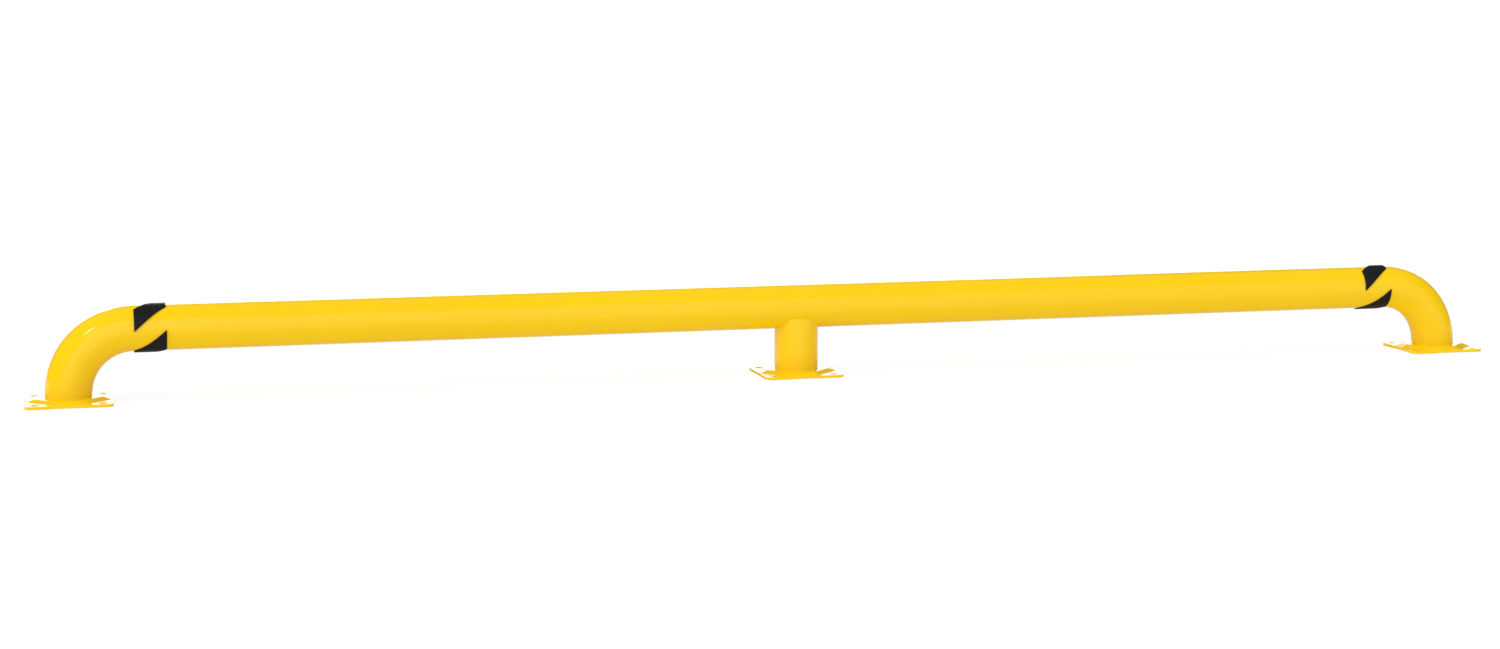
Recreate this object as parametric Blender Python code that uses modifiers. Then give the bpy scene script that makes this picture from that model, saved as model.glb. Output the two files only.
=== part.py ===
"""Rack end guard: one bent steel tube on three pressed base plates, with a coped post in the middle.

Metres, +Z up. The origin is on the floor under the middle of the rail. +X runs along the rail and +Y
goes through it. The tube stands on its two bent legs and on the post, and each foot is welded to its
plate. A band of diagonal black strips is wrapped round the rail beside each bend.
"""

import math

import bmesh
import bpy
from mathutils import Vector

# Clearance that every piece keeps from what it sits on
SEAT_GAP = 0.0003

# Tube of the rail, its two legs and the centre post
TUBE_DIAMETER = 0.076
TUBE_WALL = 0.003
LEG_SPACING = 2.476
BEND_RADIUS = 0.1065
LEG_STRAIGHT = 0.0024
TUBE_SIDES = 40
SIDES_AT_RESOLUTION_0 = 4
BEND_SEGMENTS = 16

# Pressed base plate: flat corner pads round a raised eight-sided seat
PLATE_THICKNESS = 0.005
SEAT_RAISE = 0.0053
SLOPE_RUN = 0.015
SEAT_MARGIN_LENGTH = 0.017
SEAT_MARGIN_WIDTH = 0.0105
SEAT_MARGIN_DIAGONAL = 0.0098
PLATE_CORNER_RADIUS = 0.009
PLATE_CORNER_SEGMENTS = 5
CREASE_ROUND = 0.003
CREASE_SEGMENTS = 2
EDGE_ROUND = 0.0006

# Anchor holes, measured from the plate's edges to the hole's axis
HOLE_DIAMETER = 0.014
HOLE_SETBACK_LENGTH = 0.016
HOLE_SETBACK_WIDTH = 0.0135
HOLE_SIDES = 24
CUTTER_OVERSHOOT = 0.01

# Weld beads: leg length along each of the two surfaces, and the crown of the bead's face
WELD_LEG = 0.0035
WELD_CROWN = 0.0005
WELD_FACE_STEPS = 3

# Black strips: three to a band, each climbing round the rail as it crosses the band
BAND_WIDTH = 0.052
BAND_TO_BEND = 0.0
STRIP_THICKNESS = 0.0017
STRIP_SPAN = math.radians(58.5)
STRIP_PITCH = math.radians(120.0)
STRIP_CLIMB = math.radians(65.5)
STRIP_START = math.radians(-1.3)
STRIPS = {"front": 0, "under": -1, "back": 1}
STRIP_STEPS_ALONG = 10
STRIP_STEPS_ROUND = 8

# Sizes that follow from the ones above
TUBE_RADIUS = TUBE_DIAMETER / 2
BORE_RADIUS = TUBE_RADIUS - TUBE_WALL
SEATED_RADIUS = TUBE_RADIUS + SEAT_GAP
SEAT_HEIGHT = PLATE_THICKNESS + SEAT_RAISE
FOOT_HEIGHT = SEAT_HEIGHT + SEAT_GAP
RAIL_HEIGHT = FOOT_HEIGHT + LEG_STRAIGHT + BEND_RADIUS
LEG_X = LEG_SPACING / 2
BEND_START_X = LEG_X - BEND_RADIUS
PLATE_HALF_LENGTH = TUBE_RADIUS + SEAT_MARGIN_LENGTH + SLOPE_RUN
PLATE_HALF_WIDTH = TUBE_RADIUS + SEAT_MARGIN_WIDTH + SLOPE_RUN
SLOPE_FOOT_DIAGONAL = TUBE_RADIUS + SEAT_MARGIN_DIAGONAL + SLOPE_RUN
STATIONS = {"left": -LEG_X, "centre": 0.0, "right": LEG_X}

# Colour, roughness and metallic value of each finish
FINISHES = {
    "yellow_coat": ((0.90, 0.55, 0.02, 1.0), 0.28, 0.0),
    "black_strip": ((0.012, 0.012, 0.02, 1.0), 0.45, 0.0),
}

# Angles that count as a corner, the distance that merges points, and the sides that a wall grows to
SMOOTH_ANGLE = math.radians(35.0)
EDGE_ANGLE = math.radians(60.0)
MERGE_DISTANCE = 0.00001
INWARDS = -1.0
OUTWARDS = 1.0

# Upright part of a face's normal: under the first it faces sideways, over the second it lies flat
RIM_SLOPE = 0.5
FLAT_SLOPE = 0.999


def clear_scene():
    """Removes every object, so the model starts from an empty scene."""
    for obj in list(bpy.data.objects):
        bpy.data.objects.remove(obj, do_unlink=True)


def new_collection(name):
    """Returns a new collection linked to the scene."""
    collection = bpy.data.collections.new(name)
    bpy.context.scene.collection.children.link(collection)
    return collection


def new_material(name, finish):
    """Returns a Principled BSDF material with the colour, roughness and metallic value of a finish."""
    colour, roughness, metallic = FINISHES[finish]
    material = bpy.data.materials.new(name)
    material.use_nodes = True
    shader = material.node_tree.nodes["Principled BSDF"]
    shader.inputs["Base Color"].default_value = colour
    shader.inputs["Roughness"].default_value = roughness
    shader.inputs["Metallic"].default_value = metallic
    return material


def mesh_from(bm, name):
    """Writes a bmesh to a new smooth-shaded mesh whose corners stay sharp, and frees it."""
    mesh = bpy.data.meshes.new(name)
    bm.to_mesh(mesh)
    bm.free()
    mesh.shade_smooth()
    mesh.set_sharp_from_angle(angle=SMOOTH_ANGLE)
    return mesh


def place(name, mesh, collection, parent, finish, location=(0.0, 0.0, 0.0)):
    """Adds one sub-part to the model, with a material of its own in the object's slot."""
    obj = bpy.data.objects.new(name, mesh)
    collection.objects.link(obj)
    obj.parent = parent
    obj.location = location
    if not mesh.materials:
        mesh.materials.append(None)
    obj.material_slots[0].link = "OBJECT"
    obj.material_slots[0].material = new_material(name, finish)
    return obj


def add_wall(obj, thickness, side):
    """Gives an open surface a wall of even thickness on its inner or its outer side."""
    wall = obj.modifiers.new("wall", "SOLIDIFY")
    wall.thickness = thickness
    wall.offset = side
    wall.use_even_offset = True


def rail_path():
    """Lists the points of the tube's centre line, from the left foot over both bends to the right foot."""
    turns = [math.radians(90.0) * step / BEND_SEGMENTS for step in range(BEND_SEGMENTS + 1)]
    bend_height = RAIL_HEIGHT - BEND_RADIUS
    bend = [
        Vector((BEND_START_X + BEND_RADIUS * math.sin(turn), 0.0, bend_height + BEND_RADIUS * math.cos(turn)))
        for turn in turns
    ]
    right = bend + [Vector((LEG_X, 0.0, FOOT_HEIGHT))]
    left = [Vector((-point.x, 0.0, point.z)) for point in reversed(right)]
    return left + right


def make_guard_tube(collection, parent):
    """Bends the rail and its two legs from one tube, open at both feet."""
    curve = bpy.data.curves.new("rail_path", "CURVE")
    curve.dimensions = "3D"
    curve.bevel_depth = TUBE_RADIUS
    curve.bevel_resolution = (TUBE_SIDES - SIDES_AT_RESOLUTION_0) // 2
    spline = curve.splines.new("POLY")
    path = rail_path()
    spline.points.add(len(path) - 1)
    for point, position in zip(spline.points, path):
        point.co = (*position, 1.0)
    guide = bpy.data.objects.new("rail_guide", curve)
    collection.objects.link(guide)
    depsgraph = bpy.context.evaluated_depsgraph_get()
    mesh = bpy.data.meshes.new_from_object(guide.evaluated_get(depsgraph))
    bpy.data.objects.remove(guide, do_unlink=True)
    mesh.shade_smooth()
    tube = place("guard_tube", mesh, collection, parent, "yellow_coat")
    add_wall(tube, TUBE_WALL, INWARDS)


def cope_height(turn):
    """Height of the post's cut end at an angle round the post, where the bore's edge meets the rail."""
    across = BORE_RADIUS * math.sin(turn)
    return RAIL_HEIGHT - math.sqrt(SEATED_RADIUS ** 2 - across ** 2)


def make_centre_post(collection, parent):
    """Makes the short post, whose upper end is cut square through the wall to saddle the rail."""
    bm = bmesh.new()
    bmesh.ops.create_cone(
        bm, cap_ends=False, segments=TUBE_SIDES, radius1=TUBE_RADIUS, radius2=TUBE_RADIUS, depth=RAIL_HEIGHT
    )
    for vert in bm.verts:
        turn = math.atan2(vert.co.y, vert.co.x)
        vert.co.z = cope_height(turn) if vert.co.z > 0.0 else FOOT_HEIGHT
    post = place("centre_post", mesh_from(bm, "centre_post"), collection, parent, "yellow_coat")
    add_wall(post, TUBE_WALL, INWARDS)


def pressed_sheet():
    """Presses the plate's sheet: flat corner pads, and eight slopes up to the raised seat."""
    bm = bmesh.new()
    bmesh.ops.create_grid(bm, x_segments=1, y_segments=1, size=1.0)
    bmesh.ops.scale(bm, vec=(PLATE_HALF_LENGTH, PLATE_HALF_WIDTH, 1.0), verts=bm.verts)
    bmesh.ops.translate(bm, vec=(0.0, 0.0, PLATE_THICKNESS), verts=bm.verts)
    corners = list(bm.verts)
    bmesh.ops.bevel(
        bm, geom=corners, offset=PLATE_CORNER_RADIUS, offset_type="OFFSET", segments=PLATE_CORNER_SEGMENTS,
        profile=0.5, affect="VERTICES",
    )
    for side_x in (-1.0, 1.0):
        for side_y in (-1.0, 1.0):
            outward = Vector((side_x, side_y, 0.0)).normalized()
            everything = bm.verts[:] + bm.edges[:] + bm.faces[:]
            bmesh.ops.bisect_plane(
                bm, geom=everything, plane_co=outward * SLOPE_FOOT_DIAGONAL, plane_no=outward
            )
    seat = min(bm.faces, key=lambda face: face.calc_center_median().xy.length)
    bmesh.ops.inset_region(bm, faces=[seat], thickness=SLOPE_RUN, use_boundary=True, use_even_offset=True)
    bmesh.ops.translate(bm, vec=(0.0, 0.0, SEAT_RAISE), verts=seat.verts)
    return bm


def is_seat_crease(edge):
    """Tells whether an edge runs round the raised seat, where the slopes turn over into it."""
    slopes = [abs(face.normal.z) for face in edge.link_faces]
    return min(slopes) > RIM_SLOPE and max(slopes) > FLAT_SLOPE > min(slopes) and not touches_rim(edge)


def touches_rim(edge):
    """Tells whether an end of an edge lies on the sheet's upright rim."""
    return any(abs(face.normal.z) < RIM_SLOPE for vert in edge.verts for face in vert.link_faces)


def base_plate_mesh():
    """Gives the pressed sheet its thickness, measured straight down so that its edges stay upright."""
    bm = pressed_sheet()
    lower = bmesh.ops.extrude_face_region(bm, geom=bm.faces[:])
    lower_verts = [item for item in lower["geom"] if isinstance(item, bmesh.types.BMVert)]
    bmesh.ops.translate(bm, vec=(0.0, 0.0, -PLATE_THICKNESS), verts=lower_verts)
    bmesh.ops.recalc_face_normals(bm, faces=bm.faces)
    bm.normal_update()
    creases = [edge for edge in bm.edges if is_seat_crease(edge)]
    bmesh.ops.bevel(
        bm, geom=creases, offset=CREASE_ROUND, offset_type="OFFSET", segments=CREASE_SEGMENTS, profile=0.5,
        affect="EDGES",
    )
    return mesh_from(bm, "base_plate")


def hole_cutter_mesh():
    """Four drill-sized cylinders on the plate's hole pattern."""
    bm = bmesh.new()
    hole_x = PLATE_HALF_LENGTH - HOLE_SETBACK_LENGTH
    hole_y = PLATE_HALF_WIDTH - HOLE_SETBACK_WIDTH
    for side_x in (-1.0, 1.0):
        for side_y in (-1.0, 1.0):
            drilled = bmesh.ops.create_cone(
                bm, cap_ends=True, segments=HOLE_SIDES, radius1=HOLE_DIAMETER / 2, radius2=HOLE_DIAMETER / 2,
                depth=PLATE_THICKNESS + 2 * CUTTER_OVERSHOOT,
            )
            centre = (side_x * hole_x, side_y * hole_y, PLATE_THICKNESS / 2)
            bmesh.ops.translate(bm, vec=centre, verts=drilled["verts"])
    return mesh_from(bm, "hole_cutter")


def make_base_plates(collection, cutters, parent):
    """Makes one plate under each leg and one under the post, each drilled at its four corners."""
    sheet = base_plate_mesh()
    drills = hole_cutter_mesh()
    for side, x in STATIONS.items():
        plate = place(f"{side}_base_plate", sheet, collection, parent, "yellow_coat", (x, 0.0, 0.0))
        cutter = bpy.data.objects.new(f"{side}_hole_cutter", drills)
        cutters.objects.link(cutter)
        cutter.parent = plate
        cutter.hide_render = True
        cutter.display_type = "WIRE"
        holes = plate.modifiers.new("anchor_holes", "BOOLEAN")
        holes.operation = "DIFFERENCE"
        holes.solver = "EXACT"
        holes.object = cutter
        edges = plate.modifiers.new("rounded_edges", "BEVEL")
        edges.width = EDGE_ROUND
        edges.segments = 1
        edges.limit_method = "ANGLE"
        edges.angle_limit = EDGE_ANGLE


def bead_face(upper_toe, lower_toe, outward, crown):
    """Points of a bead's crowned face between its two toes, without the toes themselves."""
    points = []
    for step in range(1, WELD_FACE_STEPS):
        along = step / WELD_FACE_STEPS
        points.append(upper_toe.lerp(lower_toe, along) + outward * crown * math.sin(math.pi * along))
    return points


def foot_weld_mesh():
    """Turns the fillet bead that joins a foot of the tube to its plate."""
    root = Vector((SEATED_RADIUS, 0.0, 0.0))
    upper_toe = root + Vector((0.0, 0.0, WELD_LEG))
    lower_toe = root + Vector((WELD_LEG, 0.0, 0.0))
    outward = Vector((1.0, 0.0, 1.0)).normalized()
    profile = [upper_toe, *bead_face(upper_toe, lower_toe, outward, WELD_CROWN), lower_toe, root]
    edges = [(index, (index + 1) % len(profile)) for index in range(len(profile))]
    mesh = bpy.data.meshes.new("foot_weld")
    mesh.from_pydata(profile, edges, [])
    return mesh


def make_foot_welds(collection, parent):
    """Lays one bead round the foot of each leg and of the post."""
    profile = foot_weld_mesh()
    for side, x in STATIONS.items():
        weld = place(f"{side}_foot_weld", profile, collection, parent, "yellow_coat", (x, 0.0, FOOT_HEIGHT))
        turning = weld.modifiers.new("turning", "SCREW")
        turning.axis = "Z"
        turning.angle = math.tau
        turning.steps = TUBE_SIDES
        turning.render_steps = TUBE_SIDES
        turning.use_merge_vertices = True
        turning.merge_threshold = MERGE_DISTANCE
        turning.use_smooth_shade = True


def onto_rail(point):
    """Moves a point straight towards or away from the rail's axis until it clears the rail by the gap."""
    spoke = Vector((0.0, point.y, point.z - RAIL_HEIGHT)).normalized() * SEATED_RADIUS
    return Vector((point.x, spoke.y, RAIL_HEIGHT + spoke.z))


def saddle_section(turn):
    """Section of the saddle bead at an angle round the post.

    It runs from the corner of the post's cut edge to the groove between that edge and the rail, the toe
    on the rail, the crowned face and the toe on the post. Beside the rail the face stands out further,
    so that it covers the cut edge.
    """
    across, aside = math.cos(turn), math.sin(turn)
    edge_height = cope_height(turn)
    corner_height = min(edge_height + SEAT_GAP, RAIL_HEIGHT - SEATED_RADIUS * abs(across))
    corner = Vector((SEATED_RADIUS * across, SEATED_RADIUS * aside, corner_height))
    post_toe = Vector((corner.x, corner.y, edge_height - WELD_LEG))
    rise = BORE_RADIUS ** 2 * aside * across / (RAIL_HEIGHT - edge_height)
    along_seam = Vector((-TUBE_RADIUS * aside, TUBE_RADIUS * across, rise)).normalized()
    off_rail = Vector((0.0, corner.y, corner.z - RAIL_HEIGHT)).normalized()
    up_the_rail = off_rail.cross(along_seam)
    groove = onto_rail(corner + up_the_rail * SEAT_GAP)
    rail_toe = onto_rail(corner + up_the_rail * WELD_LEG)
    outward = (post_toe - rail_toe).cross(along_seam).normalized()
    crown = WELD_CROWN + max(0.0, (corner - rail_toe).dot(outward))
    return [corner, groove, rail_toe, *bead_face(rail_toe, post_toe, outward, crown), post_toe]


def make_saddle_weld(collection, parent):
    """Lofts the bead that follows the saddle-shaped seam between the post and the rail."""
    bm = bmesh.new()
    rings = []
    for station in range(TUBE_SIDES):
        section = saddle_section(math.tau * station / TUBE_SIDES)
        rings.append([bm.verts.new(point) for point in section])
    for ring, following in zip(rings, rings[1:] + rings[:1]):
        for index in range(len(ring)):
            after = (index + 1) % len(ring)
            bm.faces.new((ring[index], ring[after], following[after], following[index]))
    place("saddle_weld", mesh_from(bm, "saddle_weld"), collection, parent, "yellow_coat")


def strip_mesh(start):
    """Wraps one strip round the rail's outside: it climbs steadily as it crosses the band."""
    bm = bmesh.new()
    bmesh.ops.create_grid(bm, x_segments=STRIP_STEPS_ALONG, y_segments=STRIP_STEPS_ROUND, size=0.5)
    for vert in bm.verts:
        along = vert.co.x + 0.5
        turn = start + STRIP_CLIMB * along + STRIP_SPAN * (vert.co.y + 0.5)
        vert.co = (BAND_WIDTH * along, -SEATED_RADIUS * math.cos(turn), SEATED_RADIUS * math.sin(turn))
    bmesh.ops.triangulate(bm, faces=bm.faces, quad_method="SHORT_EDGE")
    return mesh_from(bm, "strip")


def make_bands(collection, parent):
    """Wraps a band of three strips round the rail beside each bend."""
    band_starts = {"left": BAND_TO_BEND - BEND_START_X, "right": BEND_START_X - BAND_TO_BEND - BAND_WIDTH}
    for strip, place_round in STRIPS.items():
        mesh = strip_mesh(STRIP_START + STRIP_PITCH * place_round)
        for side, x in band_starts.items():
            name = f"{side}_strip_{strip}"
            piece = place(name, mesh, collection, parent, "black_strip", (x, 0.0, RAIL_HEIGHT))
            add_wall(piece, STRIP_THICKNESS, OUTWARDS)


def main():
    """Builds the guard in its own collection, under one empty at the origin."""
    clear_scene()
    parts = new_collection("rack_end_guard")
    cutters = new_collection("cutters")
    guard = bpy.data.objects.new("rack_end_guard", None)
    parts.objects.link(guard)
    make_guard_tube(parts, guard)
    make_centre_post(parts, guard)
    make_base_plates(parts, cutters, guard)
    make_foot_welds(parts, guard)
    make_saddle_weld(parts, guard)
    make_bands(parts, guard)
    bpy.context.view_layer.update()


main()
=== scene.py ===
"""Looks of the rack end guard: gloss yellow tube and plates, coated weld beads and black strips.

Metres, +Z up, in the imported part's own frame: the floor is at z = 0, the rail runs along X and the front
faces -Y.
"""

import logging
import math
from collections.abc import Callable, Sequence
from dataclasses import dataclass
from enum import Enum

import bmesh
import bpy
from mathutils import Matrix, Vector
from mathutils.geometry import delaunay_2d_cdt


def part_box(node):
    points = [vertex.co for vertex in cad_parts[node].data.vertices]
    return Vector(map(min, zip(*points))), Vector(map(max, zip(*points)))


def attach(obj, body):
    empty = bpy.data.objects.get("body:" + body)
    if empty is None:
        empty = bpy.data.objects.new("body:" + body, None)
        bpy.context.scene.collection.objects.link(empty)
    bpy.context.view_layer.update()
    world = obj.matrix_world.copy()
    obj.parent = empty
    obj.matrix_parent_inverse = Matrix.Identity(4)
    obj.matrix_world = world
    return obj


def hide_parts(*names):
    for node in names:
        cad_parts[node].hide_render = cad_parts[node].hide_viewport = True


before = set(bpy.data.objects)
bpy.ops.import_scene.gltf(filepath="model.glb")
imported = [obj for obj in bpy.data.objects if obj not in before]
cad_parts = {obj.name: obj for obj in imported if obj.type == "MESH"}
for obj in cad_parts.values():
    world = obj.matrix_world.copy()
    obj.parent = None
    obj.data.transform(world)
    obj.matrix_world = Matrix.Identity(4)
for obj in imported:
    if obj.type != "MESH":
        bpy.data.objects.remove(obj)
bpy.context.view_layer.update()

LOG = logging.getLogger("rack_end_guard")
BODY = "root"

# Point attribute of a mesh, 1 on the walls of the plates' holes, where a darker yellow is painted in as
# shade.
HOLE_SHADE_MASK = "painted_hole_shade"

# Metres: the tube's height over the plates' seats, the depth of the post's level cut below the rail's axis,
# and the difference in height over which that cut turns into the sloping one.
SEAT_GAP = 0.0003
LEDGE_DROP = 0.0200
LEDGE_BLEND = 0.002


class Slot(Enum):
    """Material slots of the part's record."""

    YELLOW = "yellow_coat"
    BLACK = "black_strip"


class Station(Enum):
    """Places along the rail where it stands on a plate."""

    LEFT = "left"
    CENTRE = "centre"
    RIGHT = "right"


class NodeSheet:
    """Adds nodes to one node tree and links them."""

    def __init__(self, tree: bpy.types.NodeTree) -> None:
        """Works on the given tree.

        Args:
            tree: Shader or geometry node tree that gets the nodes.
        """
        self.tree = tree

    def add(self, kind: str, **settings: object) -> bpy.types.Node:
        """Adds a node and sets its properties.

        Args:
            kind: Blender's type name of the node.
            **settings: Properties of the node and their values.

        Returns:
            The new node.
        """
        node = self.tree.nodes.new(kind)
        for name, value in settings.items():
            setattr(node, name, value)
        return node

    def feed(self, socket: bpy.types.NodeSocket, source: object) -> None:
        """Links a socket to another one, or sets its value.

        Args:
            socket: Input socket.
            source: Output socket, or a plain value.
        """
        if isinstance(source, bpy.types.NodeSocket):
            self.tree.links.new(source, socket)
        else:
            socket.default_value = source

    def call(self, kind: str, feeds: dict[str | int, object], **settings: object) -> bpy.types.Node:
        """Adds a node and feeds its inputs.

        Args:
            kind: Blender's type name of the node.
            feeds: Socket name or index, and what goes into it.
            **settings: Properties of the node and their values.

        Returns:
            The new node.
        """
        node = self.add(kind, **settings)
        for key, source in feeds.items():
            self.feed(node.inputs[key], source)
        return node

    def math(self, operation: str, *values: object) -> bpy.types.NodeSocket:
        """Adds a Math node.

        Args:
            operation: Blender's name of the operation.
            *values: One to three sockets or numbers.

        Returns:
            The result's socket.
        """
        return self.call("ShaderNodeMath", dict(enumerate(values)), operation=operation).outputs[0]

    def point(self, x: object, y: object, z: object) -> bpy.types.NodeSocket:
        """Returns the socket of a vector that is put together from its parts."""
        return self.call("ShaderNodeCombineXYZ", {0: x, 1: y, 2: z}).outputs[0]

    def parts(self, kind: str, output: str) -> bpy.types.bpy_prop_collection:
        """Adds a node that puts out a vector, and returns the sockets X, Y and Z of the vector's parts."""
        return self.call("ShaderNodeSeparateXYZ", {0: self.add(kind).outputs[output]}).outputs

    def blend(self, share: object, first: object, second: object) -> bpy.types.NodeSocket:
        """Adds a node that mixes two colours by the share of the second, and returns the result's socket."""
        return self.call("ShaderNodeMix", {0: share, 6: first, 7: second}, data_type="RGBA").outputs[2]

    def ramp(
        self, value: object, ends: tuple[float, float], results: tuple[float, float] = (0.0, 1.0)
    ) -> bpy.types.NodeSocket:
        """Adds a Map Range node that goes smoothly from one result to the other.

        Args:
            value: Socket that is mapped.
            ends: Values where the change starts and ends.
            results: Results at those two values, held beyond them.

        Returns:
            The result's socket.
        """
        feeds = {"Value": value, 1: ends[0], 2: ends[1], 3: results[0], 4: results[1]}
        return self.call("ShaderNodeMapRange", feeds, interpolation_type="SMOOTHSTEP").outputs["Result"]


def group_tree(kind: str, name: str, inputs: Sequence[tuple], outputs: Sequence[tuple[str, str]]) -> tuple:
    """Makes a node group with named inputs and outputs.

    Args:
        kind: "GeometryNodeTree" or "ShaderNodeTree".
        name: Name of the group.
        inputs: Name, socket type and default value of each input; the value may be left out.
        outputs: Name and socket type of each output.

    Returns:
        The node sheet, the sockets of the group's inputs and the group output node.
    """
    tree = bpy.data.node_groups.new(name, kind)
    for label, socket_type in outputs:
        tree.interface.new_socket(name=label, in_out="OUTPUT", socket_type=socket_type)
    for label, socket_type, *value in inputs:
        socket = tree.interface.new_socket(name=label, in_out="INPUT", socket_type=socket_type)
        if value:
            socket.default_value = value[0]
    sheet = NodeSheet(tree)
    return sheet, sheet.add("NodeGroupInput").outputs, sheet.add("NodeGroupOutput")


def geometry_tree(name: str, sizes: Sequence[str], counts: Sequence[str] = ()) -> tuple:
    """Makes a geometry node tree that takes a mesh, a finish, sizes and counts.

    Args:
        name: Name of the tree.
        sizes: Names of its inputs for sizes and angles.
        counts: Names of its inputs for whole numbers.

    Returns:
        The node sheet, the sockets of the tree's inputs and the group output node.
    """
    inputs = [("Geometry", "NodeSocketGeometry"), ("Finish", "NodeSocketMaterial")]
    inputs += [(label, "NodeSocketFloat") for label in sizes]
    inputs += [(label, "NodeSocketInt") for label in counts]
    return group_tree("GeometryNodeTree", name, inputs, [("Geometry", "NodeSocketGeometry")])


def run_tree(obj: bpy.types.Object, tree: bpy.types.NodeTree, values: dict[str, object]) -> None:
    """Puts a geometry node tree on an object, with a value for each named input.

    Args:
        obj: Object that gets the modifier.
        tree: Geometry node tree.
        values: Input's name and its value.
    """
    modifier = obj.modifiers.new(tree.name, "NODES")
    modifier.node_group = tree
    for item in tree.interface.items_tree:
        if item.item_type == "SOCKET" and item.in_out == "INPUT" and item.name in values:
            modifier[item.identifier] = values[item.name]


def bake(obj: bpy.types.Object) -> None:
    """Turns an object with its modifiers into one plain mesh.

    Args:
        obj: Object whose modifiers are worked into its mesh and removed.
    """
    bpy.context.view_layer.update()
    depsgraph = bpy.context.evaluated_depsgraph_get()
    mesh = bpy.data.meshes.new_from_object(
        obj.evaluated_get(depsgraph), preserve_all_data_layers=True, depsgraph=depsgraph
    )
    obj.modifiers.clear()
    obj.data = mesh
    mesh.name = obj.name


def new_object(name: str, mesh: bpy.types.Mesh) -> bpy.types.Object:
    """Links a new mesh object to the scene.

    Args:
        name: Name of the object.
        mesh: Its mesh.

    Returns:
        The new object.
    """
    obj = bpy.data.objects.new(name, mesh)
    bpy.context.scene.collection.objects.link(obj)
    return obj


def grow(name: str, tree: bpy.types.NodeTree, values: dict[str, object]) -> bpy.types.Object:
    """Makes an object whose mesh comes from a geometry node tree alone.

    Args:
        name: Name of the object.
        tree: Geometry node tree.
        values: Input's name and its value.

    Returns:
        The new object, baked.
    """
    obj = new_object(name, bpy.data.meshes.new(name))
    run_tree(obj, tree, values)
    bake(obj)
    return obj


def end_tree(
    sheet: NodeSheet, geometry: bpy.types.NodeSocket, finish: bpy.types.NodeSocket, result: bpy.types.Node
) -> None:
    """Ends a geometry node tree with Realize Instances and Set Material.

    Args:
        sheet: The tree's node sheet.
        geometry: Geometry to put out.
        finish: Socket of its material.
        result: The tree's group output node.
    """
    real = sheet.call("GeometryNodeRealizeInstances", {0: geometry})
    dressed = sheet.call("GeometryNodeSetMaterial", {"Geometry": real.outputs[0], "Material": finish})
    sheet.feed(result.inputs[0], dressed.outputs[0])


def add_wall(obj: bpy.types.Object, thickness: float) -> None:
    """Gives a tube's skin, which is open at its ends, a wall of even thickness that grows inwards.

    Args:
        obj: The object, which is baked again.
        thickness: Thickness of the wall.
    """
    probe = bmesh.new()
    probe.from_mesh(obj.data)
    outward = sum(face.calc_area() * face.normal.y * face.calc_center_median().y for face in probe.faces)
    probe.free()
    if outward < 0.0:
        obj.data.flip_normals()
    wall = obj.modifiers.new("wall", "SOLIDIFY")
    wall.thickness = thickness
    wall.offset = -1.0
    wall.use_even_offset = True
    bake(obj)


def volume_of(mesh: bpy.types.Mesh) -> float:
    """Measures the space a closed mesh encloses, which is negative where it is inside out.

    Args:
        mesh: The mesh.

    Returns:
        The signed volume in cubic metres.
    """
    bm = bmesh.new()
    bm.from_mesh(mesh)
    volume = bm.calc_volume(signed=True)
    bm.free()
    return volume


def finish_piece(obj: bpy.types.Object, nodes: Sequence[str], sharp_angle: float) -> None:
    """Shades a finished piece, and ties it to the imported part.

    Args:
        obj: The piece.
        nodes: CAD nodes that it stands for.
        sharp_angle: Angle in degrees above which an edge stays sharp.
    """
    if volume_of(obj.data) < 0.0:
        obj.data.flip_normals()
    obj.data.shade_smooth()
    obj.data.set_sharp_from_angle(angle=math.radians(sharp_angle))
    declare_piece(obj, nodes)


def declare_piece(obj: bpy.types.Object, nodes: Sequence[str]) -> None:
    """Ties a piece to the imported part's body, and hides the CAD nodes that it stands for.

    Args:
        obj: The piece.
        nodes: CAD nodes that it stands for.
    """
    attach(obj, BODY)
    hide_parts(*nodes)


def in_radians(ends: tuple[float, float]) -> tuple[float, float]:
    """Turns a pair of degrees into radians."""
    return math.radians(ends[0]), math.radians(ends[1])


def sines(ends: tuple[float, float]) -> tuple[float, float]:
    """Returns the sines of a pair of angles given in degrees."""
    return math.sin(math.radians(ends[0])), math.sin(math.radians(ends[1]))


def soft_min(first: float, second: float, blend: float) -> float:
    """Returns the lower of two values, with a rounded change from one to the other.

    Args:
        first: One value.
        second: The other value.
        blend: Difference of the two values below which they blend.

    Returns:
        The lower value, or a little less where the two are close.
    """
    share = max(blend - abs(first - second), 0.0) / blend
    return min(first, second) - share ** 2 * blend / 4.0


def seam_drop(radius: float, across: float) -> float:
    """Measures how far the post's cut edge lies below the rail's axis.

    Args:
        radius: Radius of the post and the rail.
        across: Cosine of the angle round the post from the rail's direction.

    Returns:
        The depth, which follows the rail's side and stays level in front and behind.
    """
    return -soft_min(-radius * abs(across), -LEDGE_DROP, LEDGE_BLEND)


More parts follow.
